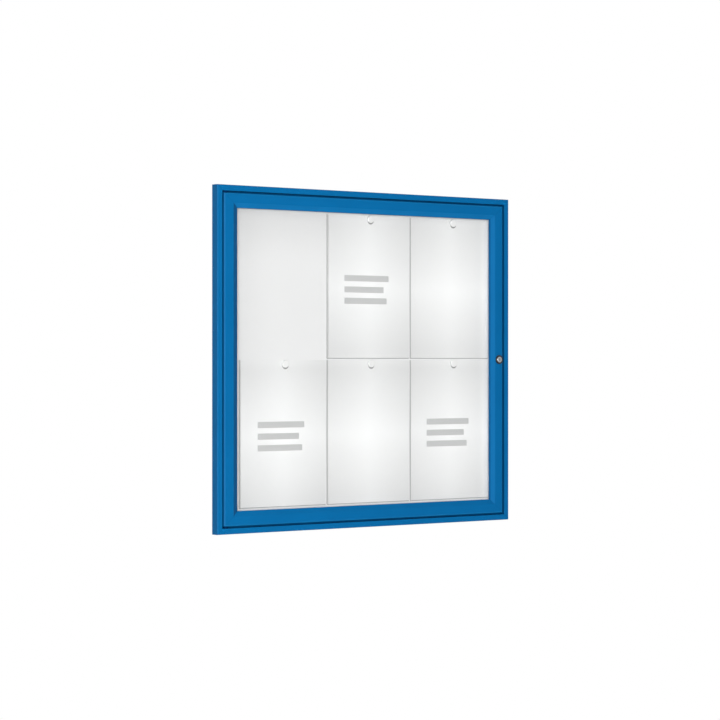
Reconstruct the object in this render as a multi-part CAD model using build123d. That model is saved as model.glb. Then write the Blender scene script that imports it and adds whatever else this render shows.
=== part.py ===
from build123d import *
import math
import os

# A lockable wall case that shows A4 notices behind a glazed door.
# X points right, Y into the wall and Z up. The origin is on the wall plane, at the middle of the case.
# Depths are counted from the front plane of the case towards the wall. All sizes are in millimetres.

# Notices: the sheets, their grid and the magnets that hold them
sheet_width = 210.0
sheet_height = 297.0
sheet_thickness = 0.2
sheet_gap = 4.0
row_names = ("top", "bottom")
column_names = ("left", "middle", "right")
empty_places = [("top", "left")]
grid_shift_x = 8.3
grid_shift_z = 0.9
magnet_diameter = 15.5
magnet_thickness = 4.0
# Each magnet was pressed on by hand: how far right of the sheet's middle, and below its top edge
magnet_places = {
    ("top", "middle"): (3.8, 7.0),
    ("top", "right"): (8.4, 7.7),
    ("bottom", "left"): (3.9, 7.6),
    ("bottom", "middle"): (5.6, 7.4),
    ("bottom", "right"): (9.9, 6.9),
}

# Visible margin between the outermost sheets and the door's inner edge
opening_margin_x = 4.1
opening_margin_z = 3.7

# Case profile: a hollow rim, a flange along the wall and a rib that closes the groove for the back panel
case_face = 12.0
case_wall = 1.6
case_edge_radius = 2.5
case_inner_edge_radius = 0.8
case_rear_edge_radius = 0.6
flange_width = 28.0
flange_thickness = 1.5
rib_width = 4.0
rib_thickness = 1.2
rib_clearance = 0.1

# Back panel: a steel sheet on a rigid board, both held in the groove of the rim
steel_thickness = 0.7
board_thickness = 1.8
panel_clearance = 0.5

# Wall fixing holes, through the panel and the flanges of the two rails
wall_hole_diameter = 6.5
wall_hole_inset_x = 70.0
wall_hole_inset_z = 22.5

# Door profile: a hollow frame with a sloping inner edge that ends in a glazing groove
door_gap = 3.5
stile_face = 22.5
stile_bevel = 11.9
rail_face = 19.5
rail_bevel = 10.3
door_wall = 1.6
door_edge_radius = 4.2
least_edge_radius = 0.3
door_rear_edge_radius = 1.5
lip_depth = 5.0
bevel_wall = 1.7
nose_width = 3.0
nose_thickness = 2.6
nose_edge_radius = 0.4
rear_lip_thickness = 1.4
rear_lip_setback = 3.5

# Glazing: the pane and the rubber channel round its edge
pane_thickness = 2.0
pane_edge_clearance = 0.1
gasket_leg = 0.5
gasket_web = 0.8
gasket_bite = 7.8
gasket_setback = 1.8

# Rubber seal on the back panel, just behind the closed door
seal_width = 4.0
seal_overlap = 1.0
seal_edge_radius = 1.3
seal_clearance = 0.3

# Corner keys pressed into the mitred corners
key_leg = 48.0
key_clearance = 0.15
key_corner_relief = 0.8
key_lead_in = 1.5
fit_clearance = 0.05

# Concealed pivots at the left edge of the door
pivot_setback = 7.0
pivot_depth = 6.0
pin_diameter = 5.0
pin_depth = 20.0
pin_reach = 6.0
pin_seat_clearance = 0.02
pivot_running_clearance = 0.05
bush_diameter = 7.6
bush_length = 7.5
bush_flange_diameter = 9.0
bush_end_play = 0.3
swing_clearance = 0.4

# Cam lock in the right stile
lock_edge_clearance = 0.2
bezel_diameter = 19.2
bezel_height = 2.6
bezel_edge = 0.7
barrel_head_diameter = 12.4
barrel_head_height = 3.0
barrel_edge = 0.5
barrel_diameter = 10.2
barrel_length = 9.8
nut_across_flats = 15.0
nut_thickness = 3.0
access_hole_diameter = 18.6
plug_diameter = 8.0
plug_recess = 0.3
plug_running_clearance = 0.05
keyway_width = 1.3
keyway_height = 5.4
keyway_depth = 7.0
tang_size = 5.0
cam_thickness = 1.2
cam_gap = 0.3
cam_width = 9.0
cam_hub_diameter = 13.0
cam_bite = 3.6
cam_screw_diameter = 2.9
cam_screw_length = 7.0
cam_head_diameter = 7.0
cam_head_height = 1.2
cam_rear_clearance = 0.5

# Strike plate on the inner wall of the case, beside the lock
strike_thickness = 1.0
strike_slot_clearance = 0.5
strike_margin = 9.0
strike_front_band = 4.0
strike_rear_band = 0.7
strike_corner_radius = 2.0
strike_screw_diameter = 2.9
strike_screw_length = 6.0
strike_head_diameter = 5.0
strike_head_height = 0.8

# Sizes that follow from the ones above
door_inset = case_face + door_gap
stile_width = stile_face + stile_bevel
rail_width = rail_face + rail_bevel
grid_width = len(column_names) * (sheet_width + sheet_gap) - sheet_gap
grid_height = len(row_names) * (sheet_height + sheet_gap) - sheet_gap
case_width = grid_width + 2 * (opening_margin_x + stile_width + door_inset)
case_height = grid_height + 2 * (opening_margin_z + rail_width + door_inset)
half_width = case_width / 2
half_height = case_height / 2

groove_front = lip_depth + nose_thickness
pane_front = groove_front + gasket_leg
groove_rear = pane_front + pane_thickness + gasket_leg
door_depth = groove_rear + rear_lip_thickness
door_half_width = half_width - door_inset
door_half_height = half_height - door_inset
door_chamber_radius = max(door_edge_radius - door_wall, least_edge_radius)

# The space behind the door takes the lock's cam, its strike and the edge that swings back as the door opens
cam_space = cam_gap + cam_thickness + cam_head_height + cam_rear_clearance
strike_reach = cam_gap + cam_thickness + strike_slot_clearance + strike_rear_band
strike_space = strike_reach + rib_clearance + rib_thickness
corner_across = pivot_setback - door_rear_edge_radius
corner_behind = door_depth - pivot_depth - door_rear_edge_radius
swing_radius = math.hypot(corner_across, corner_behind) + door_rear_edge_radius
swing_space = swing_radius - (door_depth - pivot_depth) + swing_clearance
steel_front = door_depth + max(cam_space, strike_space, swing_space)
board_front = steel_front + steel_thickness
flange_front = board_front + board_thickness
case_depth = flange_front + flange_thickness

pivot_x = -door_half_width + pivot_setback
lock_setback = door_edge_radius + lock_edge_clearance + nut_across_flats / 2
lock_x = door_half_width - lock_setback
cam_front = door_depth + cam_gap
cam_rear = cam_front + cam_thickness
cam_length = lock_setback + door_gap + case_wall + cam_bite

# The mitre cutters run a little past the inner edge of the section
mitre_overshoot = 1.1

# How far each side of a frame is turned about Y from the left side
side_turns = {"left": 0, "top": 90, "right": 180, "bottom": 270}
low_corner = (Align.MIN, Align.MIN)
on_base = (Align.CENTER, Align.CENTER, Align.MIN)


def depth_plane(x, z, depth=0.0):
    """A plane whose own Z runs from the front towards the wall; its X is the case's X."""
    return Plane(origin=(x, depth - case_depth, z), x_dir=(1, 0, 0), z_dir=(0, 1, 0))


def rear_plane(x, z, depth):
    """A plane on a rear face, whose own Z runs from there towards the front."""
    return Plane(origin=(x, depth - case_depth, z), x_dir=(1, 0, 0), z_dir=(0, -1, 0))


def upright(x, depth, z, direction):
    """A plane whose own Z runs up for direction 1 and down for direction -1."""
    return Plane(origin=(x, depth - case_depth, z), x_dir=(1, 0, 0), z_dir=(0, 0, direction))


def rod(diameter, length):
    """A round bar that stands on its plane."""
    return Cylinder(diameter / 2, length, align=on_base)


def vertex_at(sketch, x, y):
    """The corner of a sketch nearest to a point."""
    return sketch.vertices().sort_by_distance((x, y, 0))[0]


def low_rectangle(x, y, width, height):
    """A rectangle from its low corner."""
    return Pos(x, y) * Rectangle(width, height, align=low_corner)


def rounded_corner(sketch, x, y, radius):
    """The sketch with the corner at a point rounded."""
    return fillet(vertex_at(sketch, x, y), radius)


def edged_disc(diameter, height, edge):
    """A disc on its plane whose far edge is chamfered."""
    half = low_rectangle(0, 0, diameter / 2, height)
    half = chamfer(vertex_at(half, diameter / 2, height), edge)
    return revolve(Plane.XZ * half, Axis.Z)


def headed_screw(diameter, length, head_diameter, head_height):
    """A screw with a low head: the head stands above its plane and the shank goes below."""
    head = rod(head_diameter, head_height)
    return head + Pos(0, 0, -length) * rod(diameter, length)


def mitred_side(section, width, reach, half_length, rise, side):
    """One side of a frame, from a section drawn with X in from the outer edge and Y in depth.

    reach is the distance from the middle to the outer edge, and the ends slope by rise over the width.
    """
    bar = Pos(-reach, -case_depth, -half_length) * extrude(section, amount=2 * half_length)
    inner = -reach + mitre_overshoot * width
    slope = mitre_overshoot * rise
    trapezium = Polygon(
        (-reach, -half_length),
        (inner, slope - half_length),
        (inner, half_length - slope),
        (-reach, half_length),
        align=None,
    )
    trimmed = bar & extrude(Plane.XZ * trapezium, amount=2 * case_depth, both=True)
    return Rot(0, side_turns[side], 0) * trimmed


def straight_ring(section, width, reach_x, reach_z):
    """Four lengths of one section, mitred at 45 degrees round a rectangle."""
    lengths = []
    for side in side_turns:
        upright_side = side in ("left", "right")
        reach = reach_x if upright_side else reach_z
        half_length = reach_z if upright_side else reach_x
        lengths.append(mitred_side(section, width, reach, half_length, width, side))
    return Compound(children=lengths)


def case_section():
    """The rim's hollow box, the flange that lies on the wall and the rib in front of the back panel."""
    box = low_rectangle(0, 0, case_face, case_depth)
    box = rounded_corner(box, 0, 0, case_edge_radius)
    box = rounded_corner(box, case_face, 0, case_inner_edge_radius)
    box = rounded_corner(box, 0, case_depth, case_rear_edge_radius)
    chamber = low_rectangle(case_wall, case_wall, case_face - 2 * case_wall, case_depth - 2 * case_wall)
    flange = low_rectangle(case_face, flange_front, flange_width, flange_thickness)
    rib = low_rectangle(case_face, steel_front - rib_thickness, rib_width, rib_thickness)
    return box + flange + rib - chamber


def door_section(face, bevel):
    """The door's hollow box, its sloping inner edge with the nose, and the rear lip of the groove."""
    width = face + bevel
    box = low_rectangle(0, 0, face, door_depth)
    box = rounded_corner(box, 0, 0, door_edge_radius)
    box = rounded_corner(box, 0, door_depth, door_rear_edge_radius)
    chamber = low_rectangle(door_wall, door_wall, face - 2 * door_wall, door_depth - 2 * door_wall)
    chamber = rounded_corner(chamber, door_wall, door_wall, door_chamber_radius)
    nose_start = width - nose_width
    nose_slope = lip_depth / bevel
    edge = Polygon(
        (face - door_wall, 0),
        (face, 0),
        (width, lip_depth),
        (width, groove_front),
        (nose_start, groove_front),
        (nose_start, nose_slope * (nose_start - face) + bevel_wall),
        (face, bevel_wall),
        (face - door_wall, bevel_wall),
        align=None,
    )
    edge = rounded_corner(edge, width, lip_depth, nose_edge_radius)
    rear_lip = low_rectangle(face, groove_rear, bevel - rear_lip_setback, rear_lip_thickness)
    return box - chamber + edge + rear_lip


def frame_sides(kind):
    """The four mitred sides of the case or of the door, by side."""
    sides = {}
    for side in side_turns:
        stile = side in ("left", "right")
        if kind == "case":
            width = rise = case_face + flange_width
            section = case_section()
            reach, length = (half_width, half_height) if stile else (half_height, half_width)
        else:
            width, rise = (stile_width, rail_width) if stile else (rail_width, stile_width)
            section = door_section(stile_face, stile_bevel) if stile else door_section(rail_face, rail_bevel)
            reach, length = door_half_width, door_half_height
            if not stile:
                reach, length = length, reach
        sides[side] = mitred_side(section, width, reach, length, rise, side)
    return sides


def corner_key(wall, stile_chamber, rail_chamber, depth, front_chamfer=0.0):
    """An L-shaped key for the top left corner, seen with the frame's outer corner at 0, 0.

    front_chamfer clears the rounded front edge of the chambers.
    """
    near = wall + key_clearance
    far_x = wall + stile_chamber - key_clearance
    far_z = wall + rail_chamber - key_clearance
    outline = Polygon(
        (near, -near),
        (near, -key_leg),
        (far_x, -key_leg),
        (far_x, -far_z),
        (key_leg, -far_z),
        (key_leg, -near),
        align=None,
    )
    ends = [(near, -key_leg), (far_x, -key_leg), (key_leg, -near), (key_leg, -far_z)]
    outline = chamfer([vertex_at(outline, x, z) for x, z in ends], key_lead_in)
    outline -= Pos(far_x, -far_z) * Rectangle(2 * key_corner_relief, 2 * key_corner_relief)
    thickness = depth - 2 * near
    key = Pos(0, near - case_depth, 0) * extrude(Plane.XZ * outline, amount=-thickness)
    if front_chamfer:
        front = key.faces().sort_by(Axis.Y)[0]
        outer_corner = (near, near - case_depth, -near)
        key = chamfer(front.edges().sort_by_distance(outer_corner)[:2], front_chamfer)
    return key


def corner_places(reach_x, reach_z):
    """The four corners as a sign for X, a sign for Z and the outer corner itself."""
    return [(sx, sz, (sx * reach_x, sz * reach_z)) for sx in (-1, 1) for sz in (-1, 1)]


def placed_key(key, sx, sz, corner):
    """The top left key mirrored into another corner and moved there."""
    if sx > 0:
        key = mirror(key, about=Plane.YZ)
    if sz < 0:
        key = mirror(key, about=Plane.XY)
    return Pos(corner[0], 0, corner[1]) * key


def wall_hole_places():
    """The four wall fixing holes."""
    x = half_width - wall_hole_inset_x
    z = half_height - wall_hole_inset_z
    return [(sx * x, sz * z) for sx in (-1, 1) for sz in (-1, 1)]


def wall_holes():
    """Cutters for the wall fixings, right through the panel and the flanges."""
    cutter = rod(wall_hole_diameter, case_depth - steel_front)
    return [depth_plane(x, z, steel_front) * cutter for x, z in wall_hole_places()]


def panel_layer(front, thickness):
    """One layer of the back panel, in the groove of the rim, with the wall fixing holes."""
    across = case_width - 2 * (case_face + panel_clearance)
    tall = case_height - 2 * (case_face + panel_clearance)
    layer = depth_plane(0, 0, front) * extrude(Rectangle(across, tall), amount=thickness)
    return layer - wall_holes()


def pivot_bush(end):
    """A flanged bush in the rim: end is 1 at the top and -1 at the bottom."""
    seat = upright(pivot_x, pivot_depth, end * (half_height - case_face), end)
    body = rod(bush_diameter, bush_length)
    flange_height = door_gap - bush_end_play
    flange = Pos(0, 0, -flange_height) * rod(bush_flange_diameter, flange_height)
    bore = Pos(0, 0, -flange_height) * rod(
        pin_diameter + 2 * pivot_running_clearance, flange_height + bush_length
    )
    return seat * (body + flange - bore)


def pivot_pin(end, extra=0.0):
    """A steel pin that stands out of the door's corner into its bush."""
    foot = upright(pivot_x, pivot_depth, end * (door_half_height - pin_depth), end)
    return foot * rod(pin_diameter + 2 * extra, pin_depth + door_gap + pin_reach)


def bush_seat(end):
    """Cutter for the bush in the rim's inner wall and in the corner key behind it."""
    seat = upright(pivot_x, pivot_depth, end * (half_height - case_face), end)
    return seat * rod(bush_diameter + 2 * fit_clearance, bush_length + fit_clearance)


def strike_slot_span():
    """The lowest and highest point of the slot that the turning cam needs."""
    plate_face = lock_setback + door_gap - strike_thickness
    low = math.sqrt(cam_length**2 - plate_face**2) + strike_slot_clearance
    high = cam_width / 2 + strike_slot_clearance
    return -low, high


def strike_slot(start_x, length):
    """Cutter for the slot, from start_x outwards."""
    low, high = strike_slot_span()
    front = cam_front - strike_slot_clearance
    slot_depth = cam_thickness + 2 * strike_slot_clearance
    block = Box(length, slot_depth, high - low, align=(Align.MIN, Align.MIN, Align.MIN))
    return Pos(start_x, front - case_depth, low) * block


def strike_screw_places():
    """Height of the two strike screws, and the depth that they share."""
    low, high = strike_slot_span()
    front = cam_front - strike_slot_clearance - strike_front_band
    rear = cam_rear + strike_slot_clearance + strike_rear_band
    return (low - strike_margin / 2, high + strike_margin / 2), (front + rear) / 2


def strike_plane(z, depth):
    """A plane on the strike plate whose own Z points at the door."""
    face_x = half_width - case_face - strike_thickness
    return Plane(origin=(face_x, depth - case_depth, z), x_dir=(0, 1, 0), z_dir=(-1, 0, 0))


def strike_holes():
    """Cutters for the strike screws, through the plate and the rim's inner wall."""
    heights, depth = strike_screw_places()
    cutter = Pos(0, 0, -strike_screw_length) * rod(
        strike_screw_diameter + 2 * fit_clearance, strike_screw_length
    )
    return [strike_plane(z, depth) * cutter for z in heights]


def strike_plate():
    """The slotted plate in the gap between the rim and the door."""
    low, high = strike_slot_span()
    front = cam_front - strike_slot_clearance - strike_front_band
    rear = cam_rear + strike_slot_clearance + strike_rear_band
    tall = high - low + 2 * strike_margin
    plate_x = half_width - case_face - strike_thickness
    block = Box(strike_thickness, rear - front, tall, align=(Align.MIN, Align.MIN, Align.MIN))
    plate = Pos(plate_x, front - case_depth, low - strike_margin) * block
    ends = plate.edges().filter_by(Axis.X)
    plate = fillet(ends, strike_corner_radius)
    return plate - strike_slot(plate_x, strike_thickness) - strike_holes()


def case_members():
    """The four sides of the case with their holes and the slot for the cam."""
    members = frame_sides("case")
    for side in ("top", "bottom"):
        members[side] -= wall_holes()
    members["top"] -= bush_seat(1)
    members["bottom"] -= bush_seat(-1)
    members["right"] -= strike_slot(half_width - case_face, case_wall)
    members["right"] -= strike_holes()
    return members


def case_keys():
    """The four keys of the case; the left ones carry the pivot bushes."""
    chamber = case_face - 2 * case_wall
    pattern = corner_key(case_wall, chamber, chamber, case_depth)
    keys = []
    for sx, sz, corner in corner_places(half_width, half_height):
        key = placed_key(pattern, sx, sz, corner)
        if sx < 0:
            key -= bush_seat(sz)
        keys.append(key)
    return Compound(children=keys)


def door_members():
    """The four sides of the door with their holes for the pins and the lock."""
    members = frame_sides("door")
    for side, end in (("top", 1), ("bottom", -1)):
        members[side] -= pivot_pin(end, pin_seat_clearance)
    barrel_hole = rod(barrel_diameter + 2 * fit_clearance, door_wall)
    members["right"] -= depth_plane(lock_x, 0) * barrel_hole
    access_hole = rod(access_hole_diameter, door_wall)
    members["right"] -= depth_plane(lock_x, 0, door_depth - door_wall) * access_hole
    return members


def door_keys():
    """The four keys of the door; the left ones hold the pivot pins."""
    stile_chamber, rail_chamber = stile_face - 2 * door_wall, rail_face - 2 * door_wall
    pattern = corner_key(door_wall, stile_chamber, rail_chamber, door_depth, door_chamber_radius)
    keys = []
    for sx, sz, corner in corner_places(door_half_width, door_half_height):
        key = placed_key(pattern, sx, sz, corner)
        if sx < 0:
            key -= pivot_pin(sz, pin_seat_clearance)
        keys.append(key)
    return Compound(children=keys)


def clear_pane():
    """The clear pane, standing in the rubber channel."""
    bite = gasket_bite - gasket_web - pane_edge_clearance
    across = 2 * (door_half_width - stile_width + bite)
    tall = 2 * (door_half_height - rail_width + bite)
    return depth_plane(0, 0, pane_front) * extrude(Rectangle(across, tall), amount=pane_thickness)


def glazing_gasket():
    """The rubber channel round the pane: a long front leg, a web and a short rear leg."""
    front_leg = low_rectangle(0, groove_front, gasket_bite - gasket_setback, gasket_leg)
    web = low_rectangle(0, groove_front, gasket_web, pane_thickness + 2 * gasket_leg)
    rear_length = gasket_bite - rear_lip_setback - gasket_setback
    rear_leg = low_rectangle(0, groove_rear - gasket_leg, rear_length, gasket_leg)
    section = front_leg + web + rear_leg
    reach_x = door_half_width - stile_width + gasket_bite
    reach_z = door_half_height - rail_width + gasket_bite
    return straight_ring(section, gasket_bite, reach_x, reach_z)


def door_seal():
    """Four lengths of bulb seal behind the door, just past the inner wall of its hollow box."""
    top = door_depth + seal_clearance
    height = steel_front - top
    radius = min(seal_edge_radius, 0.45 * height)
    section = low_rectangle(0, top, seal_width, height)
    section = rounded_corner(section, 0, top, radius)
    section = rounded_corner(section, seal_width, top, radius)
    reach_x = door_half_width - stile_face - seal_overlap + seal_width
    reach_z = door_half_height - rail_face - seal_overlap + seal_width
    return straight_ring(section, seal_width, reach_x, reach_z)


def lock_bezel():
    """The black ring on the face of the lock stile."""
    ring = edged_disc(bezel_diameter, bezel_height, bezel_edge)
    ring -= rod(barrel_head_diameter + 2 * fit_clearance, bezel_height)
    return rear_plane(lock_x, 0, 0) * ring


def lock_barrel():
    """The lock's housing: a bright head in front of the stile and a body through its face."""
    head = edged_disc(barrel_head_diameter, barrel_head_height, barrel_edge)
    body = Pos(0, 0, -barrel_length) * rod(barrel_diameter, barrel_length)
    bore_diameter = plug_diameter + 2 * plug_running_clearance
    bore = Pos(0, 0, -barrel_length) * rod(bore_diameter, barrel_length + barrel_head_height)
    return rear_plane(lock_x, 0, 0) * (head + body - bore)


def lock_nut():
    """The nut that clamps the barrel from inside the stile, with a flat along the stile's edge."""
    hexagon = RegularPolygon(nut_across_flats / 2, 6, major_radius=False, rotation=30)
    hole = Circle(barrel_diameter / 2 + fit_clearance)
    return depth_plane(lock_x, 0, door_wall) * extrude(hexagon - hole, amount=nut_thickness)


def lock_plug():
    """The plug with its keyway in front and a square tang for the cam behind."""
    front = plug_recess - barrel_head_height
    axis = depth_plane(lock_x, 0, front)
    plug = rod(plug_diameter, cam_front - front)
    tang = Pos(0, 0, cam_front - front) * Box(tang_size, tang_size, cam_thickness, align=on_base)
    keyway = extrude(Rectangle(keyway_width, keyway_height), amount=keyway_depth)
    screw_hole = Pos(0, 0, cam_rear - front - cam_screw_length - fit_clearance) * rod(
        cam_screw_diameter + 2 * fit_clearance, cam_screw_length + fit_clearance
    )
    return axis * (plug + tang - keyway - screw_hole)


def lock_cam():
    """The cam plate: a round hub with a square hole and an arm that hangs down when unlocked."""
    tip_middle = cam_length - cam_width / 2
    arm = Pos(0, tip_middle / 2) * Rectangle(cam_width, tip_middle)
    tip = Pos(0, tip_middle) * Circle(cam_width / 2)
    hub = Circle(cam_hub_diameter / 2)
    hole = Rectangle(tang_size + 2 * fit_clearance, tang_size + 2 * fit_clearance)
    return depth_plane(lock_x, 0, cam_front) * extrude(hub + arm + tip - hole, amount=cam_thickness)


def cam_screw():
    """The screw that holds the cam on the plug."""
    screw = headed_screw(cam_screw_diameter, cam_screw_length, cam_head_diameter, cam_head_height)
    return depth_plane(lock_x, 0, cam_rear) * screw


def sheet_middle(row, column):
    """The middle of one place in the grid."""
    column_step = column_names.index(column) - (len(column_names) - 1) / 2
    row_step = (len(row_names) - 1) / 2 - row_names.index(row)
    x = grid_shift_x + column_step * (sheet_width + sheet_gap)
    z = grid_shift_z + row_step * (sheet_height + sheet_gap)
    return x, z


def notices():
    """The paper sheets on the steel sheet and the magnet in front of each."""
    pieces = {}
    for row in row_names:
        for column in column_names:
            if (row, column) in empty_places:
                continue
            x, z = sheet_middle(row, column)
            paper_front = steel_front - sheet_thickness
            paper = extrude(Rectangle(sheet_width, sheet_height), amount=sheet_thickness)
            pieces[f"sheet_{row}_{column}"] = depth_plane(x, z, paper_front) * paper
            shift, drop = magnet_places[row, column]
            magnet = rod(magnet_diameter, magnet_thickness)
            place = rear_plane(x + shift, z + sheet_height / 2 - drop, paper_front)
            pieces[f"magnet_{row}_{column}"] = place * magnet
    return pieces


def display_case():
    """Every piece by name."""
    case_sides = case_members()
    door_sides = door_members()
    strike_heights, strike_depth = strike_screw_places()
    strike_screw = headed_screw(
        strike_screw_diameter, strike_screw_length, strike_head_diameter, strike_head_height
    )
    pieces = {
        "case_top_rail": case_sides["top"],
        "case_bottom_rail": case_sides["bottom"],
        "case_left_stile": case_sides["left"],
        "case_right_stile": case_sides["right"],
        "case_corner_keys": case_keys(),
        "steel_back_sheet": panel_layer(steel_front, steel_thickness),
        "backing_board": panel_layer(board_front, board_thickness),
        "door_seal": door_seal(),
        "pivot_bushes": Compound(children=[pivot_bush(1), pivot_bush(-1)]),
        "strike_plate": strike_plate(),
        "strike_screws": Compound(
            children=[strike_plane(z, strike_depth) * strike_screw for z in strike_heights]
        ),
        "door_top_rail": door_sides["top"],
        "door_bottom_rail": door_sides["bottom"],
        "door_hinge_stile": door_sides["left"],
        "door_lock_stile": door_sides["right"],
        "door_corner_keys": door_keys(),
        "clear_pane": clear_pane(),
        "glazing_gasket": glazing_gasket(),
        "pivot_pins": Compound(children=[pivot_pin(1), pivot_pin(-1)]),
        "lock_bezel": lock_bezel(),
        "lock_barrel": lock_barrel(),
        "lock_nut": lock_nut(),
        "lock_plug": lock_plug(),
        "lock_cam": lock_cam(),
        "cam_screw": cam_screw(),
    }
    pieces.update(notices())
    return pieces


os.makedirs("parts", exist_ok=True)
for name, piece in display_case().items():
    export_step(piece, f"parts/{name}.step")
print(f"case {case_width:.1f} x {case_height:.1f} x {case_depth:.1f} mm, door {door_depth:.1f} mm deep")
print(f"pivot x {pivot_x:.2f}, depth {pivot_depth:.2f}; lock x {lock_x:.2f}; cam reach {cam_length:.2f}")
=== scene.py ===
# %% [markdown]
# # Dressing a notice board display case
# The case hangs on a wall: a blue metal rim, a glazed door that swings on hidden pivots, a cam lock,
# and a white magnetic back on which five sheets of paper hang under round magnets.
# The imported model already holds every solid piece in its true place, in metres: X points right,
# Y into the wall and Z up. So this lesson leaves the frames, the lock and the pane as they are and
# gives them finishes, and it makes new meshes only for what a plain solid can't show: paper that
# curls, capped magnets, screw recesses and the bulb of the rubber seal.

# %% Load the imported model
import math

import bmesh
import bpy
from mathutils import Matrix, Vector


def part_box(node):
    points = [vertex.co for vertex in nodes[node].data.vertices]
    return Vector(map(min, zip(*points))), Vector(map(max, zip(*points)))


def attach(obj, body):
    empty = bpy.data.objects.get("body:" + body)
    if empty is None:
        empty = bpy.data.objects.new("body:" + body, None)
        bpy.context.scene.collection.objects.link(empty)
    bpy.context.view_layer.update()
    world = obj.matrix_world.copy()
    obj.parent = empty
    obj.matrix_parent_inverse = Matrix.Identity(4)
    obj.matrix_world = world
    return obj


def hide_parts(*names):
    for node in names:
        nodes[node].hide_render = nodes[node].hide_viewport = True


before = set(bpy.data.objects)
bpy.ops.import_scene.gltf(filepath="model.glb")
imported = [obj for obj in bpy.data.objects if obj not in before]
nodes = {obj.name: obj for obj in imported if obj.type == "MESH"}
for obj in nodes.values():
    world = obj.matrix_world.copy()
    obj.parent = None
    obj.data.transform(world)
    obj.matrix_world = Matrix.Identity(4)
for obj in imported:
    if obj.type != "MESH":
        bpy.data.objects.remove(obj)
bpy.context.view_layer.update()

MM = 0.001


def in_mm(lengths, digits=1):
    """Lengths, or the parts of a point, as a plain list in millimetres."""
    return [round(length / MM, digits) for length in lengths]


# %% [markdown]
# ## Maths that reads like maths
# A finish is a small network of nodes, and most of those are Math nodes. Wiring them by hand hides
# the idea, so one small class wraps a number that flows out of a socket. Python's operators on it
# add the Math nodes, and `1 - mask` works too because plus and minus have their reflected forms.

# %% A number that flows
class Flow:
    """A number from a socket. Operators on it add Math nodes to the tree that it belongs to."""

    def __init__(self, maker, socket):
        self.maker = maker
        self.socket = socket

    def math(self, operation, *terms):
        return self.maker.flow("ShaderNodeMath", {"operation": operation}, dict(enumerate(terms)))

    def __add__(self, other):
        return self.math("ADD", self, other)

    def __radd__(self, other):
        return self.math("ADD", other, self)

    def __sub__(self, other):
        return self.math("SUBTRACT", self, other)

    def __rsub__(self, other):
        return self.math("SUBTRACT", other, self)

    def __mul__(self, other):
        return self.math("MULTIPLY", self, other)

    def __truediv__(self, other):
        return self.math("DIVIDE", self, other)

    def __pow__(self, power):
        return self.math("POWER", self, power)

    def __abs__(self):
        return self.math("ABSOLUTE", self)

    def sine(self):
        return self.math("SINE", self)

    def smallest(self, other):
        return self.math("MINIMUM", self, other)

    def largest(self, *others):
        result = self
        for other in others:
            result = self.math("MAXIMUM", result, other)
        return result

    def reach(self, across):
        """How far off a point is that lies this far one way and that far across."""
        return (self ** 2.0 + across ** 2.0) ** 0.5

    def ease(self, low, high):
        """0 up to low, 1 from high on, and a smooth rise between them."""
        ends = {"Value": self, "From Min": low, "From Max": high}
        return self.maker.flow("ShaderNodeMapRange", {"interpolation_type": "SMOOTHSTEP"}, ends)

    def plateau(self, rise, full, fall, end):
        """0 up to rise, 1 from full to fall, and 0 again from end on."""
        return self.ease(rise, full) * (1 - self.ease(fall, end))


# %% One method for every other node
class NodeMaker:
    """Adds nodes to one tree: settings first, then the value or the link of each socket."""

    def __init__(self, tree):
        self.tree = tree

    def add(self, kind, settings=None, sockets=None):
        node = self.tree.nodes.new(kind)
        for name, value in (settings or {}).items():
            setattr(node, name, value)
        for key, value in (sockets or {}).items():
            self.feed(node.inputs[key], value)
        return node

    def feed(self, socket, value):
        """Sets a socket, or links it to a Flow, a node, another socket or a list of nodes."""
        if isinstance(value, list):
            for item in value:
                self.feed(socket, item)
            return
        if isinstance(value, Flow):
            value = value.socket
        if isinstance(value, bpy.types.Node):
            value = value.outputs[0]
        if isinstance(value, bpy.types.NodeSocket):
            self.tree.links.new(value, socket)
        else:
            socket.default_value = value

    def flow(self, kind, settings=None, sockets=None, output=0):
        return Flow(self, self.add(kind, settings, sockets).outputs[output])

    def axes(self, vector):
        split = self.add("ShaderNodeSeparateXYZ", None, {0: vector})
        return [Flow(self, socket) for socket in split.outputs]

    def vector(self, x, y, z):
        return self.add("ShaderNodeCombineXYZ", None, {0: x, 1: y, 2: z}).outputs[0]


# %% A finish
# The Mix node has a set of sockets for each kind of data. These are the numbers of those for colour.
MIX_FACTOR, MIX_FIRST, MIX_SECOND, MIX_RESULT = 0, 6, 7, 2


class Finish(NodeMaker):
    """A material whose patterns are measured in metres on the piece's own coordinates."""

    def __init__(self, name, **constants):
        self.material = bpy.data.materials.new(name)
        self.material.use_nodes = True
        super().__init__(self.material.node_tree)
        self.shader = self.tree.nodes["Principled BSDF"]
        self.place = self.add("ShaderNodeTexCoord").outputs["Object"]
        for socket, value in constants.items():
            self.set(socket.replace("_", " "), value)

    def set(self, socket, value):
        self.feed(self.shader.inputs[socket], value)

    def noise(self, size, detail, stretch=(1, 1, 1)):
        """Noise from 0 to 1 whose blobs are about this size in millimetres."""
        scaled = self.add("ShaderNodeMapping", None, {"Vector": self.place, "Scale": stretch})
        sockets = {"Vector": scaled, "Scale": 1 / (size * MM), "Detail": detail}
        return self.flow("ShaderNodeTexNoise", None, sockets)

    def mix(self, factor, first, second):
        """The colour between first and second."""
        sockets = {MIX_FACTOR: factor, MIX_FIRST: first, MIX_SECOND: second}
        return self.add("ShaderNodeMix", {"data_type": "RGBA"}, sockets).outputs[MIX_RESULT]

    def relief(self, height, depth, strength):
        """Bumps of this depth in millimetres."""
        sockets = {"Height": height, "Distance": depth * MM, "Strength": strength}
        self.set("Normal", self.add("ShaderNodeBump", None, sockets))

    def show(self, surface):
        """Shows this shader instead of the plain one."""
        self.feed(self.tree.nodes["Material Output"].inputs["Surface"], surface)


def grey(level):
    return (level, level, level, 1)


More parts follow.
